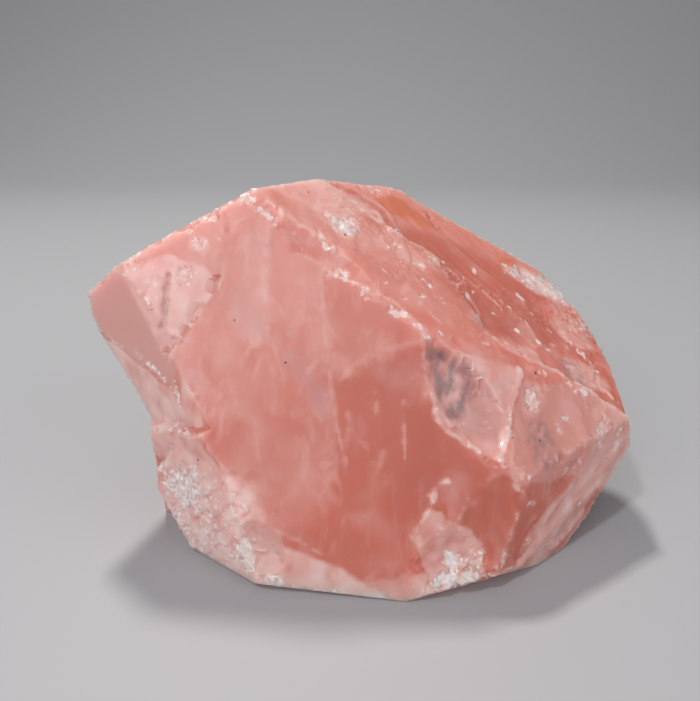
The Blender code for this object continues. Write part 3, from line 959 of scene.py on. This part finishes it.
@dataclass
class Stone:
    """The quartz body.

    Attributes:
        node: Name of the CAD node that it stands for.
        voxel: Grid of the fine mesh.
        most_triangles: Triangles that the finished mesh may have.
        least_fold: Fold from which an edge of the solid counts as a ridge.
        crisp: Fold from which an edge of the finished mesh is shaded sharp.
        swells: Height, width and shift of the broad swells of a face and of the finer ones.
        base: Heights over the floor at which the relief sets in and is whole, for a flat base.
        chips_per_mm: Chips along a right-angled ridge.
        chip_depth: Depth of a middling chip, and how widely the logarithm of the depth spreads.
        chip_reach: The same for half the length of a chip.
        chip_tilt: How far a chip's floor leans, as a share of half the fold.
        deepest: Depth that no chip passes.
        blunt: Depth of a chip on a ridge that hardly folds, as a share of one at a right angle.
        lowest: Height over the floor from which there are chips.
        ridge: Distances from a ridge at which its steps end and are whole.
        ridge_crumbs: Height of the steps on a ridge, as a share of a bruise's.
        sharp_fold: Fold from which a ridge has them in full.
        crumbs: Height as a share of the width, width and shift of the coarse and the fine steps.
        sunk: How far the steps sink below the surface.
        lowest_crumb: Height over the floor from which there are steps.
        rounds: Rounds of smoothing that narrow and broad ridges are measured against.
        paling_with_top_light: Heights at which the body colour starts to pale and is palest, which is partly
            painted light from above.
        least_change: Change of a tint between neighbours from which the finished mesh keeps both.
        seed: Seed of the random chips, areas and facets.
        facing: Direction that each vertex of the fine mesh looks to before any relief.
        areas: Everything that tints the stone.
    """

    node: str = "rose_quartz"
    voxel: float = 0.45
    most_triangles: int = 190_000
    least_fold: float = 18.0
    crisp: float = 38.0
    swells: tuple[Triple, ...] = ((0.3, 17, 3.1), (0.05, 5, 7.7))
    base: tuple[float, float] = (0.3, 2.5)
    chips_per_mm: float = 0.9
    chip_depth: tuple[float, float] = (0.16, 0.6)
    chip_reach: tuple[float, float] = (0.9, 0.45)
    chip_tilt: float = 0.4
    deepest: float = 0.5
    blunt: float = 0.2
    lowest: float = 1.5
    ridge: tuple[float, float] = (1.2, 0.3)
    ridge_crumbs: float = 0.35
    sharp_fold: float = 60.0
    crumbs: tuple[Triple, ...] = ((0.4, 1.6, 0), (0.3, 0.8, 9.1))
    sunk: float = 0.1
    lowest_crumb: float = 0.5
    rounds: tuple[int, int] = (6, 60)
    paling_with_top_light: tuple[float, float] = (18, 72)
    least_change: float = 0.16
    seed: int = 11
    facing: np.ndarray = field(default_factory=lambda: np.zeros((0, 3)))
    areas: list[Patch | Pane | Thread] = field(default_factory=list)

    def build(self) -> bpy.types.Object:
        """Makes the finished mesh."""
        draw = random.Random(self.seed)
        noise.seed_set(self.seed)  # The facets read noise_vector, which otherwise goes by the clock.
        obj, creases, surface = self.start()
        mesh = self.fine(obj, surface)
        self.facing = mesh.normals()
        self.areas = [*PATCHES, *PANES, *THREADS]
        for strewn in STREWN:
            self.areas += strewn.areas(mesh.points, self.facing, draw)
        self.undulate(mesh)
        self.chip(mesh, creases, draw)
        self.crumble(mesh, creases)
        mesh.store()
        marks = self.marks(mesh)
        points = mesh.points.copy()
        self.thin(obj, self.patterned(mesh, marks))
        self.carry(points, marks, Mesh(obj))
        obj.data.shade_smooth()
        obj.data.set_sharp_from_angle(angle=math.radians(self.crisp))
        return obj

    def start(self) -> tuple[bpy.types.Object, list[Crease], BVHTree]:
        """Copies the solid as a closed mesh.

        Returns:
            The new object, the solid's ridges and a tree of its surface.
        """
        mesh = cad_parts[self.node].data.copy()
        mesh.materials.clear()
        mesh.name = "stone"
        bm = bmesh.new()
        bm.from_mesh(mesh)
        bmesh.ops.remove_doubles(bm, verts=bm.verts, dist=0.001 * MM)
        bm.to_mesh(mesh)
        surface = BVHTree.FromBMesh(bm)
        bmesh.ops.dissolve_limit(bm, angle_limit=math.radians(1), verts=bm.verts, edges=bm.edges)
        creases = []
        for edge in bm.edges:
            fold = math.degrees(edge.calc_face_angle_signed())
            if fold > self.least_fold:
                start, end = (vert.co / MM for vert in edge.verts)
                sides = tuple(face.normal.copy() for face in edge.link_faces)
                creases.append(Crease(start, end, sides, fold))
        bm.free()
        return place("stone", mesh), creases, surface

    def apply(self, obj: bpy.types.Object) -> None:
        """Replaces an object's mesh by what its modifiers make of it."""
        graph = bpy.context.evaluated_depsgraph_get()
        made = bpy.data.meshes.new_from_object(obj.evaluated_get(graph))
        old = obj.data
        obj.modifiers.clear()
        obj.data = made
        bpy.data.meshes.remove(old)

    def fine(self, obj: bpy.types.Object, surface: BVHTree) -> Mesh:
        """Meshes the object on a fine even grid that lies exactly on the solid.

        Args:
            obj: Object with the solid's shape.
            surface: Tree of the solid's surface.

        Returns:
            The fine mesh.
        """
        step = obj.modifiers.new("grid", "REMESH")
        step.mode = "VOXEL"
        step.voxel_size = self.voxel * MM
        self.apply(obj)
        mesh = Mesh(obj)
        for index, point in enumerate(mesh.points):
            mesh.points[index] = surface.find_nearest(Vector(point) * MM)[0] / MM
        return mesh

    def undulate(self, mesh: Mesh) -> None:
        """Gives the faces broad swells, and each patch of relief its own grain."""
        normals = mesh.normals()
        points = mesh.points
        lift = sum(height * noise_at(points, width, shift) for height, width, shift in self.swells)
        for relief in RELIEFS:
            weight = relief.face.weight(points, self.facing)
            near = np.flatnonzero(weight)
            lift[near] += weight[near] * relief.lift(points[near])
        for thread in THREADS:
            if thread.lift:
                lift += thread.lift * thread.weight(points, self.facing) / thread.strength
        above = smoothstep(points[:, 2], *self.base)
        mesh.points += normals * (lift * above)[:, None]

    def chip(self, mesh: Mesh, creases: Sequence[Crease], draw: random.Random) -> None:
        """Takes chips off the ridges."""
        for crease in creases:
            length = (crease.end - crease.start).length
            sharpness = crease.fold / 90
            middle = (crease.sides[0] + crease.sides[1]).normalized()
            for _ in range(int(length * self.chips_per_mm * sharpness + draw.random())):
                at = crease.start.lerp(crease.end, draw.random())
                depth = min(self.deepest, drawn(draw, self.chip_depth) * (self.blunt + sharpness))
                lean = self.chip_tilt * math.radians(crease.fold / 2)
                tilt = Vector([draw.gauss(0, lean) for _ in range(3)])
                normal = (middle + tilt).normalized()
                reach = drawn(draw, self.chip_reach)
                if at.z > self.lowest:
                    Chip(at - normal * depth, normal, reach).take(mesh.points)

    def crumble(self, mesh: Mesh, creases: Sequence[Crease]) -> None:
        """Breaks the ridges and the bruised patches into small steps."""
        points = mesh.points
        normals = mesh.normals()
        weight = np.zeros(len(points))
        for crease in creases:
            reach = (crease.end - crease.start).length / 2 + self.ridge[0]
            near = near_to(points, np.array(crease.start + crease.end) / 2, reach)
            away = away_from(points[near], crease.start, crease.end)
            sharp = min(1.0, crease.fold / self.sharp_fold)
            weight[near] = np.maximum(weight[near], self.ridge_crumbs * sharp * smoothstep(away, *self.ridge))
        weight *= CRUMBLING.at(points)
        weight = np.maximum(weight, self.tinted(points, Tint.BRUISE))
        near = np.flatnonzero((weight > 0) & (points[:, 2] > self.lowest_crumb))
        step = sum(share * facets_at(points[near], width, shift) for share, width, shift in self.crumbs)
        points[near] += normals[near] * (weight[near] * (step - self.sunk))[:, None]

    def marks(self, mesh: Mesh) -> dict[str, np.ndarray]:
        """Measures how far each vertex stands out from its surroundings.

        Args:
            mesh: The fine mesh.

        Returns:
            "edge" for narrow ridges and "rim" for broad ones, both in millimetres, and each tint.
        """
        a, b = mesh.edges().T
        size = len(mesh.points)
        count = np.bincount(a, minlength=size) + np.bincount(b, minlength=size)
        normals = mesh.normals()
        smooth = mesh.points.copy()
        found = self.tones(mesh.points)
        narrow, broad = self.rounds
        for done in range(1, broad + 1):
            sums = [np.bincount(a, side[b], size) + np.bincount(b, side[a], size) for side in smooth.T]
            smooth = np.stack(sums, axis=1) / count[:, None]
            if done == narrow:
                found["edge"] = ((mesh.points - smooth) * normals).sum(axis=1)
        found["rim"] = ((mesh.points - smooth) * normals).sum(axis=1)
        return found

    def tinted(self, points: np.ndarray, tint: Tint) -> np.ndarray:
        """Gives the strongest effect of one tint at each point."""
        areas = [area for area in self.areas if area.tint is tint]
        return np.max([area.weight(points, self.facing) for area in areas], axis=0)

    def tones(self, points: np.ndarray) -> dict[str, np.ndarray]:
        """Works out how strongly each tint, veil and cloud shows at each vertex.

        Args:
            points: Vertices of the fine mesh.

        Returns:
            A number a vertex, from 0 to 1, for each name.
        """
        found = {tint.value: self.tinted(points, tint) for tint in Tint}
        found["smoke"] *= SMOKE_STREAKS.at(points)
        found["rust"] *= RUST_BLOTCHES.at(points)
        mottle = noise_at(points, 3.5, 9.9, 2)
        found["milk"] *= 0.8 + 0.5 * mottle
        found["veil"] = np.max([veil.weight(points) for veil in VEILS], axis=0)
        # The body pales upwards between two heights, which waver by up to this much; the paling is partly its
        # own paler crown and partly painted light from above.
        wavering = 12 * noise_at(points, 26, 1.2)
        found["body"] = smoothstep(points[:, 2] + wavering, *self.paling_with_top_light)
        found["cloud"] = np.maximum(CLOUD_PUFFS.at(points), 0.8 * CLOUD_WISPS.at(points))
        return found

    def patterned(self, mesh: Mesh, marks: dict[str, np.ndarray]) -> np.ndarray:
        """Finds the vertices at and beside each sharp change of a tint, which stay in the finished mesh."""
        edges = mesh.edges()
        a, b = edges.T
        changes = [np.abs(marks[tint.value][a] - marks[tint.value][b]) for tint in Tint]
        beside = np.zeros(len(mesh.points), bool)
        beside[edges[np.max(changes, axis=0) > self.least_change]] = True
        return np.unique(edges[beside[edges].any(axis=1)])

    def thin(self, obj: bpy.types.Object, kept: np.ndarray) -> None:
        """Merges triangles on the flat stretches until the mesh is within its limit.

        Args:
            obj: Object with the fine mesh.
            kept: Vertices that aren't merged.
        """
        count = len(obj.data.vertices)
        free = obj.vertex_groups.new(name="free")
        free.add(np.setdiff1d(np.arange(count), kept).tolist(), 1.0, "REPLACE")
        log.info("stone: %d of %d vertices kept for the pattern", len(kept), count)
        step = obj.modifiers.new("thin", "DECIMATE")
        step.vertex_group = free.name
        step.ratio = min(1.0, self.most_triangles / triangles_of(obj))
        self.apply(obj)

    def carry(self, points: np.ndarray, marks: dict[str, np.ndarray], mesh: Mesh) -> None:
        """Stores the marks of the fine mesh at the nearest vertices of the finished one.

        Args:
            points: Vertices of the fine mesh.
            marks: Numbers at those vertices.
            mesh: The finished mesh.
        """
        tree = KDTree(len(points))
        for index, point in enumerate(points):
            tree.insert(point, index)
        tree.balance()
        nearest = [tree.find(point)[1] for point in mesh.points]
        for name, values in marks.items():
            mesh.write(name, values[nearest])

    def dress(self, obj: bpy.types.Object) -> None:
        """Gives the stone its quartz."""
        obj.data.materials.clear()
        obj.data.materials.append(Quartz().material())


Value = Union["Sock", float, Triple, Sequence[float]]


class Sock:
    """Output of a shader node, with arithmetic written as expressions."""

    def __init__(self, graph: "Graph", socket: bpy.types.NodeSocket) -> None:
        """Wraps a node's output socket."""
        self.graph = graph
        self.socket = socket

    def math(self, operation: str, other: Value) -> "Sock":
        """Adds a Math node whose first input is this socket."""
        return self.graph.add("ShaderNodeMath", {"operation": operation}, {0: self, 1: other})

    def __add__(self, other: Value) -> "Sock":
        """Sum."""
        return self.math("ADD", other)

    __radd__ = __add__

    def __sub__(self, other: Value) -> "Sock":
        """Difference."""
        return self.math("SUBTRACT", other)

    def __rsub__(self, other: Value) -> "Sock":
        """Difference from a number."""
        return self.graph.add("ShaderNodeMath", {"operation": "SUBTRACT"}, {0: other, 1: self})

    def __mul__(self, other: Value) -> "Sock":
        """Product."""
        return self.math("MULTIPLY", other)

    __rmul__ = __mul__

    def other(self, name: str) -> "Sock":
        """Gives another output of the same node."""
        return Sock(self.graph, Graph.find(self.socket.node.outputs, name))

    def ease(self, low: float, high: float) -> "Sock":
        """Eases from 0 at low to 1 at high, where high may be under low."""
        if low > high:
            return 1 - self.ease(high, low)
        settings = {"interpolation_type": "SMOOTHSTEP", "clamp": True}
        inputs = {"Value": self, "From Min": low, "From Max": high}
        return self.graph.add("ShaderNodeMapRange", settings, inputs)


class Graph:
    """Node tree of one material."""

    def __init__(self, name: str) -> None:
        """Starts a material with an empty tree."""
        self.material = bpy.data.materials.new(name)
        self.material.use_nodes = True
        self.tree = self.material.node_tree
        self.tree.nodes.clear()

    def add(
        self,
        kind: str,
        settings: dict[str, Any] | None = None,
        inputs: dict[str | int, Value] | None = None,
        output: str | int = 0,
    ) -> Sock:
        """Adds a node.

        Args:
            kind: Node type.
            settings: Its settings, made before its sockets are used.
            inputs: Values or links of its input sockets, by name, identifier or number.
            output: Output socket to give back.

        Returns:
            The output socket.
        """
        node = self.tree.nodes.new(kind)
        for key, value in (settings or {}).items():
            setattr(node, key, value)
        for key, value in (inputs or {}).items():
            socket = self.find(node.inputs, key)
            if isinstance(value, Sock):
                self.tree.links.new(value.socket, socket)
            else:
                socket.default_value = value
        return Sock(self, self.find(node.outputs, output))

    def end(self, surface: Sock, volume: Sock | None = None) -> bpy.types.Material:
        """Joins the shaders to the output and gives the material."""
        out = self.tree.nodes.new("ShaderNodeOutputMaterial")
        self.tree.links.new(surface.socket, out.inputs["Surface"])
        if volume:
            self.tree.links.new(volume.socket, out.inputs["Volume"])
        return self.material

    @staticmethod
    def find(sockets: Any, key: str | int) -> bpy.types.NodeSocket:
        """Finds a socket by number, identifier or name."""
        if isinstance(key, int):
            return sockets[key]
        return next(s for s in sockets if key in (s.identifier, s.name))

    def vector(self, operation: str, a: Value, b: Value, output: str = "Vector") -> Sock:
        """Adds a Vector Math node."""
        return self.add("ShaderNodeVectorMath", {"operation": operation}, {0: a, 1: b}, output)

    def mix(self, factor: Value, a: Value, b: Value) -> Sock:
        """Mixes two colours."""
        settings = {"data_type": "RGBA", "clamp_factor": True}
        inputs = {"Factor_Float": factor, "A_Color": a, "B_Color": b}
        return self.add("ShaderNodeMix", settings, inputs, "Result_Color")

    def noise(self, at: Value, size: float, detail: float = 2.0, distortion: float = 0.0) -> Sock:
        """Adds smooth noise whose lumps are about size wide."""
        inputs = {"Vector": at, "Scale": 1 / size, "Detail": detail, "Distortion": distortion}
        return self.add("ShaderNodeTexNoise", {}, inputs)

    def shake(self, at: Value, size: float) -> Sock:
        """Adds a random vector that changes over about size, with parts from 0 to 1."""
        return self.add("ShaderNodeTexNoise", {}, {"Vector": at, "Scale": 1 / size, "Detail": 1.0}, "Color")

    def attribute(self, name: str) -> Sock:
        """Reads a number stored at the vertices."""
        return self.add("ShaderNodeAttribute", {"attribute_name": name}, {}, "Fac")


def srgb(red: int, green: int, blue: int) -> tuple[float, float, float, float]:
    """Turns a colour as a screen shows it, 0 to 255, into the linear one that a shader takes."""
    parts = (red / 255, green / 255, blue / 255)
    linear = [part / 12.92 if part <= 0.04045 else ((part + 0.055) / 1.055) ** 2.4 for part in parts]
    return (*linear, 1.0)


@dataclass(frozen=True)
class Quartz:
    """Translucent pink quartz with veils, bruised ridges, stains and dust, and with painted light and shade:
    glints, pale rims, a paler top and deeper shade in places.

    Attributes:
        coral: Body colour low on the stone.
        dusty: Body colour at its top, paler there partly as painted light from above.
        deep: Colour of the tint of that name, as for milk, rose, lilac, smoke, rust and bruise. In places
            deep and rose also paint shade, milk paints light and the bruise white paints glints.
        dust: Colour of the specks.
        inner: Colour that the light takes on inside it.
        density: How fast it does so, per metre.
        roughness: Of a clean face.
        index: Refractive index.
        transmission: Share of the light that passes straight through.
        scatter: Share that scatters under the surface, and how far red, green and blue get.
        scatter_m: Scale of that distance.
        wet: Roughness of the gloss on crushed spots.
        crumb: Width of the facets and specks.
        wobble: Width and reach of the bends in their outlines.
        flank: Slope of a facet.
        grain: Width and height of the finest relief.
        narrow_mm: How far a narrow ridge stands out where it starts to look crushed and fully does; its
            crushed white partly paints glints.
        narrow: How crushed it looks then.
        rim_light_mm: How far a broad ridge stands out where it starts to be pale and is palest; this paling
            is painted edge light.
        broad: How pale it is then.
        pale: How pale a crushed spot is all over, partly as a painted glint.
        white: How white its whitest facets are, which partly paint glints.
        rare: Random numbers of a cell between which it comes to hold a speck of dust.
        speck: Distances from the middle of a cell at which its speck ends and is whole.
        uneven: How much the roughness varies.
        dull: How much crushing adds to it.
    """

    coral: tuple = srgb(208, 114, 95)
    dusty: tuple = srgb(226, 152, 140)
    deep: tuple = srgb(198, 107, 91)
    milk: tuple = srgb(244, 208, 202)
    rose: tuple = srgb(220, 166, 157)
    lilac: tuple = srgb(208, 162, 163)
    smoke: tuple = srgb(138, 102, 106)
    rust: tuple = srgb(214, 112, 70)
    bruise: tuple = srgb(253, 234, 230)
    dust: tuple = srgb(58, 40, 36)
    inner: tuple = srgb(240, 176, 165)
    density: float = 30.0
    roughness: float = 0.33
    index: float = 1.544
    transmission: float = 0.25
    scatter: tuple[float, Triple] = (0.8, (1.0, 0.42, 0.34))
    scatter_m: float = 0.009
    wet: float = 0.12
    crumb: float = 0.8
    wobble: tuple[float, float] = (0.45, 0.5)
    flank: float = 1.2
    grain: tuple[float, float] = (1.3, 0.008)
    narrow_mm: tuple[float, float] = (0.06, 0.26)
    narrow: float = 0.28
    rim_light_mm: tuple[float, float] = (0.1, 0.9)
    broad: float = 0.3
    pale: float = 0.65
    white: float = 0.9
    rare: tuple[float, float] = (0.9982, 0.9988)
    speck: tuple[float, float] = (0.4, 0.25)
    uneven: float = 0.08
    dull: float = 0.06

    def material(self) -> bpy.types.Material:
        """Builds the node tree."""
        graph = Graph("rose quartz")
        at = graph.add("ShaderNodeTexCoord", {}, {}, "Object")
        at = graph.vector("MULTIPLY", at, (1 / MM, 1 / MM, 1 / MM))
        fine = graph.noise(at, self.grain[0], 3)
        width, reach = self.wobble
        shaken = graph.vector("ADD", at, graph.vector("MULTIPLY", graph.shake(at, width), (reach,) * 3))
        cell = graph.add("ShaderNodeTexVoronoi", {}, {"Vector": shaken, "Scale": 1 / self.crumb}, "Color")
        # Crushed spots along narrow ridges and in bruises, whose white partly paints glints.
        edge = graph.attribute("edge").ease(*self.narrow_mm)
        crushed_and_glinting = graph.attribute("bruise") + edge * self.narrow
        colour = self.body(graph, at)
        # Painted edge light pales the broad ridges, and crushed spots pale as well.
        rim_light_and_crushed_pale = graph.attribute("rim").ease(*self.rim_light_mm) * self.broad + crushed_and_glinting * self.pale
        colour = graph.mix(rim_light_and_crushed_pale, colour, self.milk)
        pick = graph.vector("DOT_PRODUCT", cell, (1, 0, 0), "Value")
        # White cells on crushed spots, which partly paint glints.
        colour = graph.mix((crushed_and_glinting - pick).ease(0, 0.4) * self.white, colour, self.bruise)
        rare = graph.vector("DOT_PRODUCT", cell, (0, 0, 1), "Value").ease(*self.rare)
        colour = graph.mix(rare * cell.other("Distance").ease(*self.speck), colour, self.dust)
        shader = graph.add(
            "ShaderNodeBsdfPrincipled",
            {"subsurface_method": "RANDOM_WALK"},
            {
                "Base Color": colour,
                "Roughness": self.roughness + (fine - 0.5) * self.uneven + crushed_and_glinting * self.dull,
                "IOR": self.index,
                "Normal": self.relief(graph, at, cell, fine, crushed_and_glinting),
                "Subsurface Weight": self.scatter[0],
                "Subsurface Radius": self.scatter[1],
                "Subsurface Scale": self.scatter_m,
                "Transmission Weight": self.transmission,
                "Coat Weight": crushed_and_glinting,
                "Coat Roughness": self.wet,
            },
        )
        absorb = graph.add("ShaderNodeVolumeAbsorption", {}, {"Color": self.inner, "Density": self.density})
        return graph.end(shader, absorb)

    def body(self, graph: Graph, at: Sock) -> Sock:
        """Gives the colour of the stone's body with its clouds, veils and stains, and the light and shade
        painted into its paler top and, in places, its deep, milk and rose layers.

        Args:
            graph: Where the nodes go.
            at: Place in millimetres.

        Returns:
            The colour.
        """
        colour = graph.mix(graph.attribute("body"), self.coral, self.dusty)
        drawn = graph.vector("MULTIPLY", at, (1, 1, 0.35))
        colour = graph.mix(graph.noise(drawn, 3.2, 5, 0.6).ease(0.48, 0.75) * 0.24, colour, self.milk)
        colour = graph.mix(graph.noise(drawn, 5.5, 4, 0.4).ease(0.5, 0.3) * 0.26, colour, self.deep)
        # Names of the numbers at the vertices, from the lowest layer up, with the share that covers.
        layers = (("deep", self.deep, 0.9), ("cloud", self.milk, 0.22), ("veil", self.milk, 0.9),
                  ("lilac", self.lilac, 0.9), ("milk", self.milk, 0.9), ("rose", self.rose, 0.95),
                  ("smoke", self.smoke, 0.85), ("rust", self.rust, 0.85))
        for name, tone, share in layers:
            colour = graph.mix(graph.attribute(name) * share, colour, tone)
        return colour

    def relief(self, graph: Graph, at: Sock, cell: Sock, fine: Sock, crushed_and_glinting: Sock) -> Sock:
        """Makes the fine relief: a faint grain, and small flat facets where the stone is crushed.

        Args:
            graph: Where the nodes go.
            at: Place in millimetres.
            cell: Colour of the cell there, at random.
            fine: Fine noise.
            crushed_and_glinting: How crushed the stone is, where its white partly paints glints.

        Returns:
            The normal.
        """
        slope = graph.vector("SUBTRACT", cell, (0.5, 0.5, 0.5))
        offset = graph.vector("SUBTRACT", at, cell.other("Position"))
        facet = graph.vector("DOT_PRODUCT", slope, offset, "Value")
        height = fine * self.grain[1] + crushed_and_glinting.ease(0.1, 0.7) * facet * self.flank
        return graph.add("ShaderNodeBump", {}, {"Strength": 1.0, "Distance": MM, "Height": height}, "Normal")


@dataclass(frozen=True)
class Lamp:
    """Square soft lamp.

    Attributes:
        name: What it is called.
        at: Its place in metres.
        width: Its side in metres.
        watts: Its power.
        colour: Colour of its light.
    """

    name: str
    at: Triple
    width: float
    watts: float
    colour: Triple = (1, 1, 1)


LAMPS = (
    Lamp("key", (-0.15, 0.38, 0.91), 0.1, 7.1, (1.0, 0.97, 0.92)),
    Lamp("spark", (-0.35, -0.45, 0.85), 0.08, 3.2),
    Lamp("fill", (-0.6, -0.85, 0.42), 0.7, 5.1),
    Lamp("side fill", (0.8, -0.6, 0.42), 0.7, 3.1),
)


@dataclass
class Studio:
    """Floor, light and camera.

    Attributes:
        eye: Place of the camera.
        pitch: How far it looks down.
        lens_mm: Its focal length.
        sensor_mm: Width of its sensor.
        aim: Point that the lamps face, in metres.
        floor_m: Length of the floor, and twice its height at the back.
        back_m: How far behind the stone it turns up.
        sweep_m: Where the bend starts, before that.
        grey: Colour of the floor.
        roughness: Its roughness.
        room: Colour and strength of the light from all round.
    """

    eye: Triple = (0, -142, 89)
    pitch: float = 20.0
    lens_mm: float = 36.0
    sensor_mm: float = 36.0
    aim: Triple = (0, 0, 0.035)
    floor_m: float = 9.0
    back_m: float = 1.3
    sweep_m: float = 0.7
    grey: tuple = srgb(156, 156, 159)
    roughness: float = 0.6
    room: tuple = ((0.96, 0.97, 1.0, 1.0), 0.4)

    def build(self) -> None:
        """Sets up everything around the stone."""
        bpy.context.scene.view_settings.view_transform = "Standard"
        self.floor()
        self.lights()
        self.camera()

    def floor(self) -> None:
        """Makes a pale floor that sweeps up behind the stone."""
        bm = bmesh.new()
        bmesh.ops.create_grid(bm, x_segments=1, y_segments=1, size=self.floor_m / 2)
        bmesh.ops.translate(bm, vec=(0, self.back_m - self.floor_m / 2, 0), verts=bm.verts)
        back = [edge for edge in bm.edges if min(v.co.y for v in edge.verts) > self.back_m - 0.01]
        raised = bmesh.ops.extrude_edge_only(bm, edges=back)["geom"]
        walls = [piece for piece in raised if isinstance(piece, bmesh.types.BMVert)]
        bmesh.ops.translate(bm, vec=(0, 0, self.floor_m / 2), verts=walls)
        bmesh.ops.bevel(bm, geom=back, offset=self.sweep_m, offset_type="OFFSET", segments=24, profile=0.5,
                        affect="EDGES", material=-1)
        mesh = bpy.data.meshes.new("floor")
        bm.to_mesh(mesh)
        bm.free()
        mesh.shade_smooth()
        obj = place("floor", mesh)
        graph = Graph("floor")
        paint = {"Base Color": self.grey, "Roughness": self.roughness}
        mesh.materials.append(graph.end(graph.add("ShaderNodeBsdfPrincipled", {}, paint)))

    def lights(self) -> None:
        """Adds the soft lamps, which face the stone, and a pale room."""
        for lamp in LAMPS:
            data = bpy.data.lights.new(lamp.name, "AREA")
            data.size, data.energy, data.color = lamp.width, lamp.watts, lamp.colour
            obj = place(lamp.name, data)
            obj.visible_camera = False
            obj.location = lamp.at
            obj.rotation_euler = (Vector(self.aim) - Vector(lamp.at)).to_track_quat("-Z", "Y").to_euler()
        world = bpy.data.worlds.new("room")
        world.use_nodes = True
        inputs = world.node_tree.nodes["Background"].inputs
        inputs["Color"].default_value, inputs["Strength"].default_value = self.room
        bpy.context.scene.world = world

    def camera(self) -> None:
        """Adds the camera."""
        data = bpy.data.cameras.new("camera")
        data.lens = self.lens_mm
        data.sensor_width = self.sensor_mm
        data.clip_start = 0.01
        obj = place("camera", data)
        obj.location = Vector(self.eye) * MM
        obj.rotation_euler = (math.radians(90 - self.pitch), 0, 0)
        bpy.context.scene.camera = obj


def main() -> None:
    """Builds the stone and the studio, and reports each piece."""
    logging.basicConfig(level=logging.INFO, format="%(name)s: %(message)s")
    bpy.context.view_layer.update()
    stone = Stone()
    piece = stone.build()
    stone.dress(piece)
    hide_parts("rose_quartz")
    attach(piece, "root")
    log.info("stone: %d triangles", triangles_of(piece))
    Studio().build()


if __name__ == "__main__":
    main()
